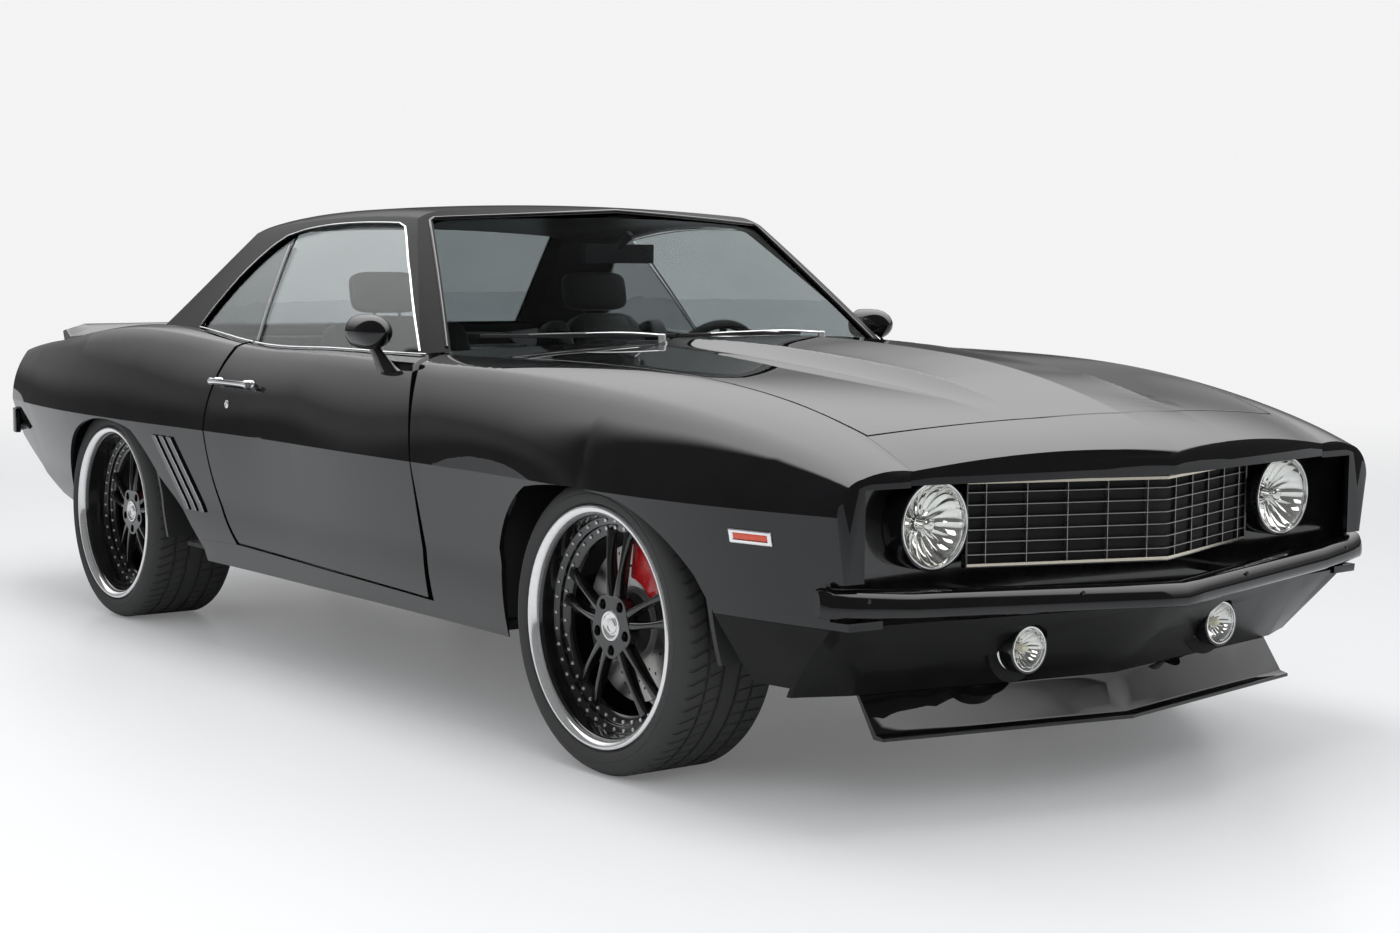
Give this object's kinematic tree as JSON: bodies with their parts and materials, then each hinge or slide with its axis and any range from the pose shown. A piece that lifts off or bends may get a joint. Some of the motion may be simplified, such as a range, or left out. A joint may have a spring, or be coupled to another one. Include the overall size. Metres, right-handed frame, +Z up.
{
  "type": "muscle car",
  "caption": "Two-door hardtop muscle car with deep-dish wheels, opening doors, bonnet and boot lid, and front wheels that steer.",
  "frame": {"origin": "on the ground, midway between the two bumpers, on the centre line", "axes": "+X forward, +Y to the car's left, +Z up"},
  "size_m": [4.724, 1.8828, 1.3079],
  "materials": {
    "paint_black": "gloss",
    "glass_clear": "gloss",
    "tyre_rubber": "matte",
    "wheel_black": "gloss",
    "chrome": "polished",
    "trim_black": "gloss",
    "lamp_lens": "gloss",
    "red_lens": "gloss",
    "chassis_black": "satin",
    "cast_metal": "rough",
    "steel_pipe": "satin",
    "seat_leather": "satin",
    "dash_plastic": "matte"
  },
  "bodies": {
    "body": {"floor_pan": "chassis_black", "sill_beams": "chassis_black", "sills": "paint_black", "wings": "paint_black", "quarters": "paint_black", "roof": "paint_black", "cowl_panel": "paint_black", "deck_panel": "paint_black", "header_panel": "paint_black", "lamp_panel": "trim_black", "grille": "trim_black", "headlamps": "lamp_lens", "front_bumper": "paint_black", "front_valance": "paint_black", "fog_lamps": "lamp_lens", "chin_spoiler": "trim_black", "side_markers": "red_lens", "side_gills": "trim_black", "tail_panel": "paint_black", "tail_lamps": "red_lens", "rear_bumper": "paint_black", "windscreen": "glass_clear", "rear_window": "glass_clear", "quarter_glass": "glass_clear", "wipers": "trim_black", "dashboard": "dash_plastic", "cabin_mirror": "dash_plastic", "front_seats": "seat_leather", "rear_seat": "seat_leather", "front_subframe": "chassis_black", "engine_block": "cast_metal", "rear_axle": "chassis_black", "exhaust": "steel_pipe", "fuel_tank": "chassis_black", "wheel_housings": "chassis_black"},
    "bonnet": {"bonnet": "paint_black"},
    "boot_lid": {"boot_lid": "paint_black", "rear_spoiler": "paint_black"},
    "steering_wheel": {"steering_wheel": "dash_plastic"},
    "door_left": {"door_left": "paint_black", "door_glass_left": "glass_clear", "mirror_left": "trim_black"},
    "knuckle_left": {"knuckle_left": "cast_metal"},
    "wheel_front_left": {"wheel_front_left": "wheel_black", "tyre_front_left": "tyre_rubber"},
    "wheel_rear_left": {"wheel_rear_left": "wheel_black", "tyre_rear_left": "tyre_rubber"},
    "door_right": {"door_right": "paint_black", "door_glass_right": "glass_clear", "mirror_right": "trim_black"},
    "knuckle_right": {"knuckle_right": "cast_metal"},
    "wheel_front_right": {"wheel_front_right": "wheel_black", "tyre_front_right": "tyre_rubber"},
    "wheel_rear_right": {"wheel_rear_right": "wheel_black", "tyre_rear_right": "tyre_rubber"}
  },
  "joints": [
    {"name": "door_left_hinge", "type": "hinge", "parent": "body", "child": "door_left", "pos_m": [0.725, 0.891, 0.65], "axis": [0, 0, -1], "range_deg": [0, 65]},
    {"name": "steer_left", "type": "hinge", "parent": "body", "child": "knuckle_left", "pos_m": [1.421, 0.745, 0.335], "axis": [0, 0, 1], "range_deg": [-28, 28]},
    {"name": "door_right_hinge", "type": "hinge", "parent": "body", "child": "door_right", "pos_m": [0.725, -0.891, 0.65], "axis": [0, 0, 1], "range_deg": [0, 65]},
    {"name": "steer_right", "type": "hinge", "parent": "body", "child": "knuckle_right", "pos_m": [1.421, -0.745, 0.335], "axis": [0, 0, 1], "range_deg": [-28, 28]},
    {"name": "spin_front_left", "type": "hinge", "parent": "knuckle_left", "child": "wheel_front_left", "pos_m": [1.421, 0.8, 0.335], "axis": [0, 1, 0], "continuous": true},
    {"name": "spin_rear_left", "type": "hinge", "parent": "body", "child": "wheel_rear_left", "pos_m": [-1.322, 0.75, 0.335], "axis": [0, 1, 0], "continuous": true},
    {"name": "spin_front_right", "type": "hinge", "parent": "knuckle_right", "child": "wheel_front_right", "pos_m": [1.421, -0.8, 0.335], "axis": [0, 1, 0], "continuous": true},
    {"name": "spin_rear_right", "type": "hinge", "parent": "body", "child": "wheel_rear_right", "pos_m": [-1.322, -0.75, 0.335], "axis": [0, 1, 0], "continuous": true},
    {"name": "bonnet_hinge", "type": "hinge", "parent": "body", "child": "bonnet", "pos_m": [0.829, 0, 0.9395], "axis": [0, -1, 0], "range_deg": [0, 45]},
    {"name": "boot_lid_hinge", "type": "hinge", "parent": "body", "child": "boot_lid", "pos_m": [-1.571, 0, 0.912], "axis": [0, 1, 0], "range_deg": [0, 60]},
    {"name": "steering_wheel_turn", "type": "hinge", "parent": "body", "child": "steering_wheel", "pos_m": [0.191, 0.37, 0.808], "axis": [-0.9063, 0, 0.4226], "range_deg": [-400, 400]}
  ],
  "couplings": [
    {"joint": "steer_right", "follows": "steer_left", "ratio": 1},
    {"joint": "steering_wheel_turn", "follows": "steer_left", "ratio": 14}
  ]
}
